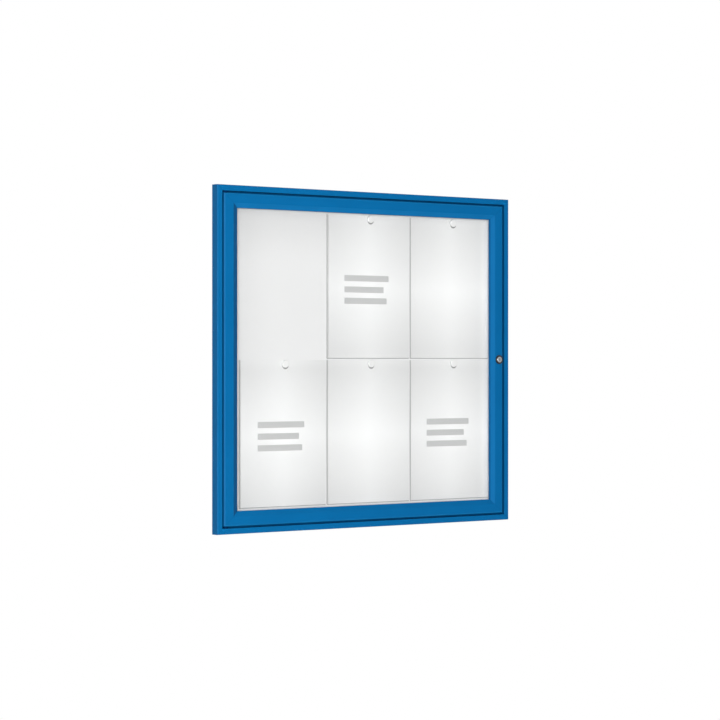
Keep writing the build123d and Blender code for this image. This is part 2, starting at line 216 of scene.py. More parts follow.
print("helpers ready for Blender", bpy.app.version_string)

# %% [markdown]
# ## Powder coat
# The rim and the door frame are aluminium with a satin blue powder coat. Baked powder isn't perfectly
# flat: it has a fine orange peel, a hint of cloudiness, and hairlines where two lengths meet at a
# mitre. A painted picture could hold all this, but it would need an unwrapped mesh. Here each mask is
# worked out from coordinates: how far a point is from the frame's side, against how far it is from
# the frame's end, tells which length it lies on and how near the mitre is. The same masks carry painted
# shade and sheen. Painted shade darkens the walls of the gap round the door, the case's outer sides,
# the door's slope by the hinge and two lips next to the pane, and the blue deepens towards the lock.
# A painted sheen makes the coat paler on the outer edges of the door's rails and on its slopes at the
# top and by the lock.

# %% Measure the frames
case_low, case_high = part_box("case_top_rail")
rail_low, rail_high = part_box("door_top_rail")
stile_low, stile_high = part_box("door_hinge_stile")
stile_width = stile_high.x - stile_low.x
rail_width = rail_high.z - rail_low.z
# As on the solids: the flat faces up to the slope, and the gap round the door.
stile_face = 22.5 * MM
rail_face = 19.5 * MM
door_gap = 3.5 * MM
rim_width = case_high.x - rail_high.x - door_gap
print("door stile, door rail and rim in mm:", in_mm((stile_width, rail_width, rim_width)))


# %% A coat on four mitred lengths
class FrameCoat(Finish):
    """Blue powder coat, with the distances on a frame that its masks are worked out from."""

    deep_blue = (0.0004, 0.1066, 0.2962, 1)
    fresh_blue = (0.0021, 0.150, 0.3906, 1)
    sheen_blue = (0.0095, 0.2264, 0.547, 1)
    shade_and_joint_blue = (0.0004, 0.0208, 0.080, 1)

    def __init__(self, name, corner, mitre_slope):
        super().__init__(name, Specular_IOR_Level=0.07)
        self.x, self.y, self.z = self.axes(self.place)
        self.half_width = corner.x
        self.from_side = corner.x - abs(self.x)
        self.from_end = corner.z - abs(self.z)
        self.past_mitre = self.from_end * mitre_slope - self.from_side
        front, back = case_low.y, case_high.y
        self.sunk = self.y.plateau(front + 0.2 * MM, front + 1.2 * MM, back - 4 * MM, back - 3 * MM)

    def gap_wall(self, start, end):
        """A wall of the gap round the door: a band counted in from the frame's outer edge."""
        soft = 0.2 * MM
        inwards = self.from_side.smallest(self.from_end)
        return inwards.plateau(start - soft, start, end, end + soft) * self.sunk

    def cover(self, painted_shade, painted_sheen=None):
        """The finished coat: darker with painted shade, paler with painted sheen, deeper towards the
        lock.
        """
        hairline = 1 - abs(self.past_mitre).ease(0.06 * MM, 0.28 * MM)
        peel = self.noise(size=1.1, detail=1.0)
        cloud = self.noise(size=90, detail=2.0)
        speck = self.noise(size=0.35, detail=0.0)
        # Painted shade: the blue deepens from the hinge side towards the lock side, besides the random
        # cloud and specks.
        tone = 0.65 - self.x / self.half_width * 0.19 + (cloud - 0.5) * 0.45 + (speck - 0.5) * 0.25
        blue = self.mix(tone, self.deep_blue, self.fresh_blue)
        if painted_sheen is not None:
            blue = self.mix(painted_sheen, blue, self.sheen_blue)
        self.set("Base Color", self.mix((hairline * 0.6).largest(painted_shade), blue, self.shade_and_joint_blue))
        self.set("Roughness", 0.38 + peel * 0.12 + hairline * 0.2)
        self.relief(peel - hairline * 0.8, depth=0.10, strength=0.6)
        return self.material


# %% The rim's coat
rim_lip = 0.6 * MM
past_flange = 40 * MM
case_coat = FrameCoat("case_powder_coat", case_high, mitre_slope=1.0)
# Painted shade: the case's outer sides and the walls of the gap round the door are darker.
outer_side = 1 - case_coat.from_side.ease(0.3 * MM, 1.5 * MM)
painted_shade = case_coat.gap_wall(rim_width - rim_lip, past_flange) * 0.55
case_blue = case_coat.cover(painted_shade.largest(outer_side * 0.17))
print("rim coat:", len(case_coat.tree.nodes), "nodes")

# %% The door's coat
beyond_edge = -1 * MM
edge_wall = 0.4 * MM
door_coat = FrameCoat("door_powder_coat", rail_high, mitre_slope=stile_width / rail_width)
from_side, from_end = door_coat.from_side, door_coat.from_end
on_stile = door_coat.past_mitre.ease(-0.05 * MM, 0.05 * MM)
on_rail = 1 - on_stile
right = door_coat.x.ease(-1 * MM, 1 * MM)
left = 1 - right
upper = door_coat.z.ease(-1 * MM, 1 * MM)
stile_slope = on_stile * from_side.ease(stile_face, stile_face + 0.3 * MM)
rail_slope = on_rail * from_end.ease(rail_face, rail_face + 0.3 * MM)
lock_lip = on_stile * right * from_side.ease(stile_width - 3.4 * MM, stile_width - 1.0 * MM)
top_lip = on_rail * upper * from_end.ease(rail_width - 1.2 * MM, rail_width - 0.2 * MM)
hinge_edge = on_stile * left * (1 - from_side.ease(0.8 * MM, 1.6 * MM)) * door_coat.sunk
rail_edges = on_rail * (1 - from_end.ease(1.0 * MM, 4.2 * MM))
# Painted shade on the door's outer edge in the gap, on the slope by the hinge, on the lips by the lock
# and at the top, and along the hinge edge.
painted_shade = door_coat.gap_wall(beyond_edge, edge_wall) * 0.55
painted_shade = painted_shade.largest(stile_slope * left * 0.40, lock_lip * 0.45, top_lip * 0.3, hinge_edge * 0.5)
# Painted sheen on the slope at the top, on the slope by the lock and on the rounded edges of the rails.
painted_sheen = (rail_slope * upper * 0.22).largest(stile_slope * right * 0.10, rail_edges * 0.6)
door_blue = door_coat.cover(painted_shade, painted_sheen)
print("door coat:", len(door_coat.tree.nodes), "nodes")


# %% Put it on the eight lengths
def finish_node(name, material):
    slots = nodes[name].data.materials
    slots.clear()
    slots.append(material)


for side in ("top_rail", "bottom_rail", "left_stile", "right_stile"):
    finish_node("case_" + side, case_blue)
for side in ("top_rail", "bottom_rail", "hinge_stile", "lock_stile"):
    finish_node("door_" + side, door_blue)
print("powder coat on 8 lengths")

# %% [markdown]
# ## The white back and the board behind it
# Magnets need steel, so the back is a thin steel sheet with white baked lacquer, stiffened by a
# hardboard. Lacquer gets a very shallow waviness. Painted shade makes it greyer, most of all along the
# top and the left, while painted light keeps a narrow strip beside the frame whiter. A thin painted
# shadow line runs along the left and the lower edge of every sheet. All this depends on where a point
# lies, so the boxes of the frame and of the sheets are enough to draw it. Hardboard is pressed on a wire
# screen, which leaves a tiny woven grid on its rear face: two crossed sine waves draw the grid, and
# stretched noise adds the fibres.

# %% White lacquered steel
opening_left = stile_high.x
opening_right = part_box("door_lock_stile")[0].x
opening_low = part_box("door_bottom_rail")[1].z
pane_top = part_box("clear_pane")[1].z
lacquer = Finish("white_lacquered_steel", Specular_IOR_Level=0.3)
waviness = lacquer.noise(size=2.2, detail=1.0)
cloudiness = lacquer.noise(size=140, detail=2.0)
x, y, z = lacquer.axes(lacquer.place)
from_left = x - opening_left
near_left = 1 - from_left.ease(-10 * MM, 110 * MM)
near_top = 1 - (pane_top - z).ease(8 * MM, 120 * MM)
off_left_edge = from_left.ease(2 * MM, 12 * MM)
off_low_edge = 0.6 + (z - opening_low).ease(0, 6 * MM) * 0.4
off_lit_margin = off_left_edge.smallest(off_low_edge)
# The lacquer is greyed except in strips beside the left and the low edge of the opening, where painted
# light keeps it whiter. Painted shade greys it further along the top and the left.
painted_panel_shade = off_lit_margin * 0.13 + near_top * 0.105 + near_left * 0.07
print("door opening, left, right and low in mm:", in_mm((opening_left, opening_right, opening_low)))

# %% Painted shadow beside and below each sheet
soft_end = 0.3 * MM
under_paper = 0.2 * MM
for name in sorted(name for name in nodes if name.startswith("sheet_")):
    low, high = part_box(name)
    beside = z.plateau(low.z, low.z + soft_end, high.z - soft_end, high.z)
    below = x.plateau(low.x - 1.5 * MM, low.x - 1.2 * MM, high.x - soft_end, high.x)
    # A painted shadow line along the left and the lower edge of each sheet.
    left_shadow_line = x.plateau(low.x - 2.0 * MM, low.x - 1.3 * MM, low.x, low.x + under_paper)
    low_shadow_line = z.plateau(low.z - 1.5 * MM, low.z - 0.8 * MM, low.z, low.z + under_paper)
    painted_panel_shade = painted_panel_shade.largest(left_shadow_line * beside * 0.74, low_shadow_line * below * 0.7)
white = lacquer.mix(cloudiness, (0.914, 0.911, 0.913, 1), (0.946, 0.943, 0.945, 1))
lacquer.set("Base Color", lacquer.mix(painted_panel_shade, white, grey(0.0)))
lacquer.set("Roughness", 0.34 + waviness * 0.1)
lacquer.relief(waviness, depth=0.02, strength=0.5)
finish_node("steel_back_sheet", lacquer.material)
print("lacquer:", len(lacquer.tree.nodes), "nodes")

# %% Screen-pressed hardboard
screen_pitch = 1.6 * MM
screen_turn = math.tau / screen_pitch
hardboard = Finish("screen_pressed_hardboard", Specular_IOR_Level=0.2)
x, y, z = hardboard.axes(hardboard.place)
weave = (x * screen_turn).sine() * (z * screen_turn).sine()
fibres = hardboard.noise(size=0.9, detail=3.0, stretch=(1, 1, 0.25))
patches = hardboard.noise(size=60, detail=3.0)
brown = hardboard.mix(patches, (0.17, 0.10, 0.055, 1), (0.30, 0.19, 0.11, 1))
hardboard.set("Base Color", hardboard.mix(fibres * 0.6, brown, (0.11, 0.062, 0.034, 1)))
hardboard.set("Roughness", 0.72 + fibres * 0.2)
hardboard.relief(weave * 0.5 + fibres, depth=0.12, strength=0.7)
finish_node("backing_board", hardboard.material)

# %% [markdown]
# ## Small metal
# The strike plate, the nut, the cam and the screws are zinc-plated steel: grey, slightly cloudy, with
# scratches along one direction. The pivot pins are blued, which keeps them dark in the gap beside the
# door, and the corner keys are sawn aluminium. Noise that is stretched along one axis draws such
# scratches with no picture of them. The lock's head and plug are bright turned metal, and turning
# leaves rings round the lock's own axis, so their relief is a wave of the distance from that axis.

# %% Zinc-plated and blued steel, and sawn aluminium
def plain_metal(name, dark, light, roughness, scratches):
    finish = Finish(name, Metallic=1.0)
    grain = finish.noise(size=0.5, detail=3.0, stretch=scratches)
    cloud = finish.noise(size=9, detail=3.0)
    finish.set("Base Color", finish.mix(cloud, dark, light))
    finish.set("Roughness", roughness + grain * 0.18)
    finish.relief(grain, depth=0.015, strength=0.5)
    return finish.material


upright = (1, 1, 0.15)
sideways = (0.2, 1, 1)
zinc = plain_metal(
    "zinc_plated_steel", (0.44, 0.45, 0.46, 1), (0.60, 0.61, 0.61, 1), roughness=0.26, scratches=upright
)
sawn = plain_metal(
    "sawn_aluminium", (0.53, 0.54, 0.55, 1), (0.66, 0.67, 0.68, 1), roughness=0.34, scratches=sideways
)
blued = plain_metal(
    "blued_steel", (0.003, 0.010, 0.024, 1), (0.006, 0.018, 0.040, 1), roughness=0.40, scratches=upright
)
for name in ("strike_plate", "lock_nut", "lock_cam"):
    finish_node(name, zinc)
for name in ("case_corner_keys", "door_corner_keys"):
    finish_node(name, sawn)
finish_node("pivot_pins", blued)
print("plain metals:", zinc.name, sawn.name, blued.name)

# %% Bright turned lock
lock_low, lock_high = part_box("lock_barrel")
lock_axis = (lock_low + lock_high) / 2


def turned_metal(name, dark, light, ring_pitch):
    """Bright metal with rings round the lock's axis, this pitch in millimetres apart."""
    finish = Finish(name, Metallic=1.0)
    x, y, z = finish.axes(finish.place)
    from_axis = (x - lock_axis.x).reach(z - lock_axis.z)
    rings = (from_axis * (math.tau / (ring_pitch * MM))).sine()
    smear = finish.noise(size=3, detail=2.0)
    finish.set("Base Color", finish.mix(smear, dark, light))
    finish.set("Roughness", 0.24 + smear * 0.12)
    finish.relief(rings, depth=0.006, strength=0.4)
    return finish.material


bright_barrel = turned_metal(
    "bright_barrel", (0.36, 0.37, 0.39, 1), (0.48, 0.49, 0.51, 1), ring_pitch=0.45
)
bright_plug = turned_metal(
    "bright_plug", (0.28, 0.29, 0.30, 1), (0.38, 0.39, 0.40, 1), ring_pitch=0.30
)
finish_node("lock_barrel", bright_barrel)
finish_node("lock_plug", bright_plug)
print("lock axis in mm:", in_mm(lock_axis, 2))

# %% [markdown]
# ## Rubber and plastic
# The glazing gasket and the seal are black rubber with a dull bloom. The ring round the lock is black
# moulded plastic, smooth and satin. The pivot bushes are dull dark blue plastic with a spark-eroded
# grain, so that they don't stand out in the gap. All three are one recipe with other numbers, and so
# one function makes them.

# %% Black rubber, black ring and bushes
def moulded(name, dark, light, grain_size, roughness, relief_depth, gloss=0.35):
    finish = Finish(name, Specular_IOR_Level=gloss)
    grain = finish.noise(size=grain_size, detail=2.0)
    bloom = finish.noise(size=25, detail=3.0)
    finish.set("Base Color", finish.mix(bloom, dark, light))
    finish.set("Roughness", roughness + grain * 0.15)
    finish.relief(grain, relief_depth, strength=0.6)
    return finish.material


black_rubber = moulded(
    "black_rubber", (0.010, 0.010, 0.011, 1), (0.022, 0.022, 0.023, 1),
    grain_size=0.6, roughness=0.55, relief_depth=0.03,
)
black_ring = moulded(
    "black_lock_ring", (0.006, 0.006, 0.007, 1), (0.012, 0.012, 0.013, 1),
    grain_size=1.5, roughness=0.25, relief_depth=0.01,
)
bush_plastic = moulded(
    "bush_plastic", (0.0006, 0.018, 0.075, 1), (0.001, 0.026, 0.10, 1),
    grain_size=0.3, roughness=0.7, relief_depth=0.03, gloss=0.04,
)
finish_node("glazing_gasket", black_rubber)
finish_node("lock_bezel", black_ring)
finish_node("pivot_bushes", bush_plastic)
print("moulded:", black_rubber.name, black_ring.name, bush_plastic.name)

# %% [markdown]
# ## The clear pane
# Acrylic shows what is behind it and mirrors a little more at a slanting look. A factor that grows with
# the slant mixes a see-through shader with a glossy one. It comes from a Layer Weight node and not from
# a Fresnel node, because the latter would turn the rear face of the pane opaque at a low angle. Fine
# dust and wiping marks live in the gloss only.

# %% Clear acrylic
straight_gloss = 0.01
slanting_gloss = 0.9
slant_power = 5.0
pane = Finish("clear_acrylic", Base_Color=(0.93, 0.95, 0.95, 1), Specular_IOR_Level=0.5)
wiping = pane.noise(size=30, detail=3.0, stretch=(1, 1, 0.3))
pane.set("Roughness", 0.015 + wiping * 0.03)
see_through = pane.add("ShaderNodeBsdfTransparent", None, {"Color": (0.990, 0.992, 0.991, 1)})
slant = pane.flow("ShaderNodeLayerWeight", None, {"Blend": 0.5}, "Facing")
gloss = straight_gloss + slant ** slant_power * slanting_gloss
pane.show(pane.add("ShaderNodeMixShader", None, {0: gloss, 1: see_through, 2: pane.shader}))
finish_node("clear_pane", pane.material)
print("pane:", len(pane.tree.nodes), "nodes")

# %% [markdown]
# ## Paper that hangs from a magnet
# Each notice is an A4 sheet held at one point near its top. A flat box would look like card. Real
# paper leaves the steel a little towards its free edges: the left and the bottom edge curl forward
# by a millimetre or so. That follows a rule, so a Geometry Nodes tree makes it: a thin box cut
# into a fine grid, moved forward by a sum of edge curls and a slight belly that fades out round the
# magnet. The tree also writes a flat UV map and the magnet's place, so that print and the painted
# shadow below the magnet can follow the sheet.

# %% A tree with named inputs
def new_tree(name, inputs, lengths):
    """A Geometry Nodes tree with its inputs by name, and the identifiers to set them by."""
    tree = bpy.data.node_groups.new(name, "GeometryNodeTree")
    tree.interface.new_socket("Geometry", in_out="OUTPUT", socket_type="NodeSocketGeometry")
    kinds = {**inputs, **{label: "Float" for label in lengths}}
    identifiers = {}
    for label, kind in kinds.items():
        socket = tree.interface.new_socket(label, in_out="INPUT", socket_type="NodeSocket" + kind)
        identifiers[label] = socket.identifier
    maker = NodeMaker(tree)
    source = maker.add("NodeGroupInput")
    given = {label: Flow(maker, source.outputs[label]) for label in kinds}
    return maker, given, identifiers


def close_tree(maker, geometry, material):
    """Realize Instances, Set Material and the group's output."""
    solid = maker.add("GeometryNodeRealizeInstances", None, {0: geometry})
    finished = maker.add("GeometryNodeSetMaterial", None, {0: solid, "Material": material})
    maker.add("NodeGroupOutput", None, {0: finished})
    print(maker.tree.name, "tree:", len(maker.tree.nodes), "nodes")


def grow(name, maker, identifiers, values, points=((0, 0, 0),)):
    """The plain mesh object that a tree makes from these inputs and points."""
    carrier_mesh = bpy.data.meshes.new(name + "_points")
    carrier_mesh.from_pydata([Vector(point) for point in points], [], [])
    carrier = bpy.data.objects.new(name + "_carrier", carrier_mesh)
    bpy.context.scene.collection.objects.link(carrier)
    modifier = carrier.modifiers.new(name, "NODES")
    modifier.node_group = maker.tree
    for label, value in values.items():
        modifier[identifiers[label]] = value
    shape = carrier.evaluated_get(bpy.context.evaluated_depsgraph_get())
    mesh = bpy.data.meshes.new_from_object(shape)
    mesh.name = name
    carrier.modifiers.clear()
    bpy.data.objects.remove(carrier)
    piece = bpy.data.objects.new(name, mesh)
    bpy.context.scene.collection.objects.link(piece)
    return piece


# %% A blank sheet, cut into a grid
sheet_maker, given, sheet_sockets = new_tree(
    "Hanging sheet", {"Middle": "Vector", "Magnet": "Vector", "Paper": "Material"},
    ("Width", "Height", "Thickness", "Left Curl", "Bottom Curl", "Curl Reach", "Belly"),
)
grid = {"Vertices X": 57, "Vertices Y": 2, "Vertices Z": 79}
size = sheet_maker.vector(given["Width"], given["Thickness"], given["Height"])
blank = sheet_maker.add("GeometryNodeMeshCube", None, {"Size": size, **grid})
x, y, z = sheet_maker.axes(sheet_maker.add("GeometryNodeInputPosition"))
crowding = 0.13


def crowd(share):
    """Grid lines crowd towards both ends, so that a narrow curl has enough of them."""
    return share + ((share - 0.5) * math.tau).sine() * crowding


across = crowd(x / given["Width"] + 0.5)
up = crowd(z / given["Height"] + 0.5)
flat_map = {"Geometry": blank, "Name": "sheet", "Value": sheet_maker.vector(across, up, 0.0)}
corner_pairs = {"data_type": "FLOAT2", "domain": "CORNER"}
mapped = sheet_maker.add("GeometryNodeStoreNamedAttribute", corner_pairs, flat_map)
print("grid of a sheet:", grid)

# %% Edge curls, and a slight belly that fades out round the magnet
held_within = 12 * MM
free_from = 200 * MM
belly_turn = 9.0
pulled_x = (across - 0.5) * given["Width"]
pulled_z = (up - 0.5) * given["Height"]
left_distance = (pulled_x + given["Width"] * 0.5) / given["Curl Reach"]
low_distance = (pulled_z + given["Height"] * 0.5) / given["Curl Reach"]
left_lift = (1 - left_distance).largest(0.0) ** 2.0 * given["Left Curl"]
low_lift = (1 - low_distance).largest(0.0) ** 2.0 * given["Bottom Curl"]
magnet_x, magnet_y, magnet_z = sheet_maker.axes(given["Magnet"])
freedom = (pulled_x - magnet_x).reach(pulled_z - magnet_z).ease(held_within, free_from)
belly = (across * math.pi).sine() * (up * belly_turn).sine() ** 2.0 * given["Belly"]
lift = left_lift + low_lift + belly * freedom
middle_x, middle_y, middle_z = sheet_maker.axes(given["Middle"])
new_place = sheet_maker.vector(pulled_x + middle_x, y + middle_y - lift, pulled_z + middle_z)
hung = sheet_maker.add("GeometryNodeSetPosition", None, {"Geometry": mapped, "Position": new_place})
magnet_place = sheet_maker.vector(magnet_x + middle_x, 0.0, magnet_z + middle_z)
held = {"Geometry": hung, "Name": "magnet", "Value": magnet_place}
marked = sheet_maker.add("GeometryNodeStoreNamedAttribute", {"data_type": "FLOAT_VECTOR"}, held)
close_tree(sheet_maker, marked, given["Paper"])

# %% [markdown]
# ## Paper and its print
# The sheets are pale, with a painted highlight: brightest in the middle and greyer towards the corners.
# A painted shade darkens the left and the lower edge, which curl, and a painted shadow lies below each
# magnet. Beside the lock side of the frame and at the top and bottom ends of a sheet, painted light
# keeps the paper a little lighter. Three sheets carry a generic notice: plain grey bars, as a layout
# shows text that isn't written yet. The bars could be a picture, but as bands on the sheet's own UV map
# they stay sharp.

# %% Tone of the paper
sheet_low, sheet_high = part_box("sheet_top_middle")
sheet_size = (sheet_high - sheet_low) / MM
# Painted highlight: the paper is brightest in the middle and greyer towards the sides and the ends.
brightest = 0.970
bright_u, bright_v = 0.5, 0.485
side_fall, end_fall = 0.224, 0.354
# Painted shadow below each magnet: its offset, its inner and outer radius, and its depth.
shade_right, shade_down = 1.2, 2.9
shade_core, shade_rim = 7.2, 8.8
shade_depth = 0.62


def paper_tone(finish, u, v, fibres):
    """How light the paper is at a point of the sheet's UV map, with its painted highlight, light and
    shade.
    """
    x, y, z = finish.axes(finish.place)
    mottle = finish.noise(size=12, detail=2.0)
    tone = brightest - abs(u - bright_u) * side_fall - abs(v - bright_v) * end_fall
    tone = tone + (fibres - 0.5) * 0.012 + (mottle - 0.5) * 0.01
    # Painted light beside the lock side of the frame and at the top and bottom ends of a sheet.
    painted_light_by_frame = (x - opening_right).ease(-26 * MM, 0) * 0.10
    painted_light_by_frame = painted_light_by_frame + v.ease(0.93, 0.99) * 0.05 + (1 - v.ease(0.005, 0.05)) * 0.03
    left_edge, low_edge = u * sheet_size.x, v * sheet_size.z
    # Painted shade along the left and the lower edge, which curl.
    painted_edge_shade = (1 - left_edge.ease(0.2, 1.6)) * 0.18 + (1 - low_edge.ease(0.2, 1.4)) * 0.2
    held = finish.add("ShaderNodeAttribute", {"attribute_name": "magnet"}).outputs["Vector"]
    magnet_x, magnet_y, magnet_z = finish.axes(held)
    aside = (x - magnet_x) / MM - shade_right
    above = (z - magnet_z) / MM + shade_down
    in_shade = 1 - aside.reach(above).ease(shade_core, shade_rim)
    return (tone + painted_light_by_frame) * (1 - painted_edge_shade.smallest(0.5)) * (1 - in_shade * shade_depth)


print("sheet in mm:", [round(length, 2) for length in sheet_size])

# %% Paper finish, with or without print
print_u, print_v = 0.475, 0.48
print_soft = 0.6
print_grey = 0.563


def paper(name, bars=()):
    """Paper with grey bars: left, right, lower and upper end in millimetres from the print's middle."""
    finish = Finish(name, Specular_IOR_Level=0.15)
    u, v, flat = finish.axes(finish.add("ShaderNodeUVMap", {"uv_map": "sheet"}))
    fibres = finish.noise(size=0.7, detail=3.0)
    tone = paper_tone(finish, u, v, fibres)
    across = (u - print_u) * sheet_size.x
    up = (v - print_v) * sheet_size.z
    ink = 0.0
    for left, right, low, high in bars:
        in_bar = across.plateau(left, left + print_soft, right - print_soft, right)
        ink = in_bar * up.plateau(low, low + print_soft, high - print_soft, high) + ink
    if bars:
        tone = tone * (1 - ink) + (print_grey + (fibres - 0.5) * 0.03) * ink
    finish.set("Base Color", tone)
    finish.set("Roughness", 0.62 + fibres * 0.2)
    finish.relief(fibres, depth=0.01, strength=0.4)
    return finish.material


bar_left = -57
bar_half = 6.5
bar_pitch = 23.5
bar_ends = {bar_pitch: 57, 0: 44, -bar_pitch: 52}
bar_rows = [(bar_left, end, row - bar_half, row + bar_half) for row, end in bar_ends.items()]
blank_paper = paper("blank_paper")
printed_paper = paper("printed_paper", bar_rows)
printed = {"top_middle", "bottom_left", "bottom_right"}
print("bars in mm:", bar_rows)

# %% Hang the five sheets
left_curl = {
    "top_middle": 1.8 * MM, "top_right": 0.4 * MM, "bottom_left": 1.6 * MM,
    "bottom_middle": 0.7 * MM, "bottom_right": 0.5 * MM,
}
bottom_curls = (0.5 * MM, 0.65 * MM)
for index, place in enumerate(sorted(left_curl)):
    low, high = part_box("sheet_" + place)
    centre = (low + high) / 2
    magnet_low, magnet_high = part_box("magnet_" + place)
    magnet_from_centre = (magnet_low + magnet_high) / 2 - centre
    sheet = grow("notice_" + place, sheet_maker, sheet_sockets, {
        "Width": high.x - low.x, "Height": high.z - low.z, "Thickness": high.y - low.y,
        "Middle": centre, "Magnet": magnet_from_centre,
        "Left Curl": left_curl[place], "Bottom Curl": bottom_curls[index % 2],
        "Curl Reach": 4.2 * MM, "Belly": 0.25 * MM,
        "Paper": printed_paper if place in printed else blank_paper,
    })
    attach(sheet, "case")
    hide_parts("sheet_" + place)
    print(sheet.name, len(sheet.data.polygons), "faces")

# %% [markdown]
# ## Capped magnets
# A board magnet is a plastic cap over a dark magnet disc: a rounded rim, a slightly dished top for the
# fingertip and a dark line where it meets the paper, which also stands in for the shade there. It is
# round and follows a rule, so a tree makes it from a cylinder: the rings of the top crowd towards the
# rim, and a formula gives each its height.

# %% The magnet tree
magnet_maker, given, magnet_sockets = new_tree(
    "Capped magnet", {"Places": "Geometry", "Cap": "Material"}, ("Radius", "Height", "Rim", "Dish")
)
height = given["Height"]
drum = magnet_maker.add("GeometryNodeMeshCylinder", None, {
    "Vertices": 64, "Side Segments": 6, "Fill Segments": 14, "Radius": given["Radius"], "Depth": height,
})
x, y, z = magnet_maker.axes(magnet_maker.add("GeometryNodeInputPosition"))
share = (x.reach(y) / given["Radius"]).smallest(1.0)
crowded = 1 - (1 - share) ** 2.0
widen = crowded / share.largest(0.0001)
is_top = z.ease(height * 0.49, height * 0.499)
is_end = is_top + (1 - z.ease(height * -0.499, height * -0.49))
stretch = widen * is_end + (1 - is_end)
print("magnet drum:", drum.inputs["Vertices"].default_value, "corners round")

# %% Rounded rim and dished top
dish_share = 0.72
rim_share = given["Rim"] / given["Radius"]
into_rim = ((crowded - (1 - rim_share)) / rim_share).largest(0.0)
rim_drop = (1 - (1 - into_rim ** 2.0).largest(0.0) ** 0.5) * given["Rim"]
dish_drop = (1 - (crowded / dish_share).smallest(1.0) ** 2.0) * given["Dish"]
is_cap = is_top * (1 - share.ease(0.995, 0.999))
wall_height = (z + height * 0.5) * (1 - given["Rim"] / height)
cap_height = height - rim_drop - dish_drop
new_height = cap_height * is_cap + wall_height * (1 - is_cap)
new_place = magnet_maker.vector(x * stretch, y * stretch, new_height)
shaped = magnet_maker.add("GeometryNodeSetPosition", None, {"Geometry": drum, "Position": new_place})
smoothed = magnet_maker.add("GeometryNodeSetShadeSmooth", None, {"Geometry": shaped})
set_magnets = magnet_maker.add("GeometryNodeInstanceOnPoints", None, {
    "Points": given["Places"], "Instance": smoothed, "Rotation": (math.radians(90), 0, 0),
})
close_tree(magnet_maker, set_magnets, given["Cap"])

# %% White cap over a dark magnet disc
disc_height = 0.6 * MM
magnet_front, magnet_back = (corner.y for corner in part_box("magnet_top_middle"))
cap = Finish("magnet_cap", Specular_IOR_Level=0.45)
x, y, z = cap.axes(cap.place)
# The dark disc at the back is the magnet itself, and it also stands in for the shade where the cap meets
# the paper.
disc = y.ease(magnet_back - disc_height - 0.15 * MM, magnet_back - disc_height)
shine = cap.noise(size=4, detail=2.0)
cap_white = cap.mix(shine, (0.82, 0.82, 0.815, 1), (0.86, 0.86, 0.855, 1))
cap.set("Base Color", cap.mix(disc, cap_white, (0.045, 0.045, 0.05, 1)))
cap.set("Roughness", 0.16 + shine * 0.1 + disc * 0.4)
cap.relief(shine, depth=0.01, strength=0.3)
print("magnet height in mm:", in_mm([magnet_back - magnet_front], 2))

# %% Press on the five magnets
for place in sorted(left_curl):
    low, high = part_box("magnet_" + place)
    seat = ((low.x + high.x) / 2, high.y, (low.z + high.z) / 2)
    magnet = grow("cap_magnet_" + place, magnet_maker, magnet_sockets, {
        "Radius": (high.x - low.x) / 2, "Height": high.y - low.y, "Rim": 1.1 * MM, "Dish": 0.35 * MM,
        "Cap": cap.material,
    }, [seat])
    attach(magnet, "case")
    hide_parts("magnet_" + place)
    print(magnet.name, len(magnet.data.polygons), "faces")

# %% [markdown]
# ## Recessed screws
# Two screws hold the strike plate and one holds the cam. All three are pan heads with a cross
# recess. They could be modelled one by one, but they differ only in size and place, so one tree domes
# a short cylinder, cuts two crossed slots out of it, adds the shank and sets the screw on points.

# %% The screw's domed head
screw_maker, given, screw_sockets = new_tree(
    "Recessed screw", {"Places": "Geometry", "Turn": "Rotation", "Metal": "Material"},
    ("Head Radius", "Head Height", "Slot Width", "Shank Radius", "Shank Length"),
)
radius, height = given["Head Radius"], given["Head Height"]
head_drum = screw_maker.add("GeometryNodeMeshCylinder", None, {
    "Vertices": 40, "Side Segments": 1, "Fill Segments": 5, "Radius": radius, "Depth": height,
})
x, y, z = screw_maker.axes(screw_maker.add("GeometryNodeInputPosition"))
share = x.reach(y) / radius
dome = z.ease(0.0, height * 0.4) * share ** 3.0 * height * 0.35
raised = screw_maker.vector(x, y, z + height * 0.5 - dome)
head = screw_maker.add("GeometryNodeSetPosition", None, {"Geometry": head_drum, "Position": raised})
print("screw head:", head_drum.inputs["Vertices"].default_value, "corners round")

# %% Two crossed slots and the shank
slot_length = radius * 1.15
slot_depth = height * 1.1
slot_width = given["Slot Width"]
at_top = screw_maker.vector(0.0, 0.0, height)
cutters = []
for long_x, long_y in ((slot_length, slot_width), (slot_width, slot_length)):
    size = screw_maker.vector(long_x, long_y, slot_depth)
    bar = screw_maker.add("GeometryNodeMeshCube", None, {"Size": size})
    raised_bar = {"Geometry": bar, "Translation": at_top}
    cutters.append(screw_maker.add("GeometryNodeTransform", None, raised_bar))
slotted = {"Mesh 1": head, "Mesh 2": cutters}
cut = screw_maker.add("GeometryNodeMeshBoolean", {"operation": "DIFFERENCE"}, slotted)
shank_length = given["Shank Length"]
rod = screw_maker.add("GeometryNodeMeshCylinder", None, {
    "Vertices": 24, "Radius": given["Shank Radius"], "Depth": shank_length,
})
lowered = screw_maker.vector(0.0, 0.0, shank_length * -0.5)
shank = screw_maker.add("GeometryNodeTransform", None, {"Geometry": rod, "Translation": lowered})
whole = screw_maker.add("GeometryNodeJoinGeometry", None, {0: [cut, shank]})
set_screws = screw_maker.add("GeometryNodeInstanceOnPoints", None, {
    "Points": given["Places"], "Instance": whole, "Rotation": given["Turn"],
})
close_tree(screw_maker, set_screws, given["Metal"])

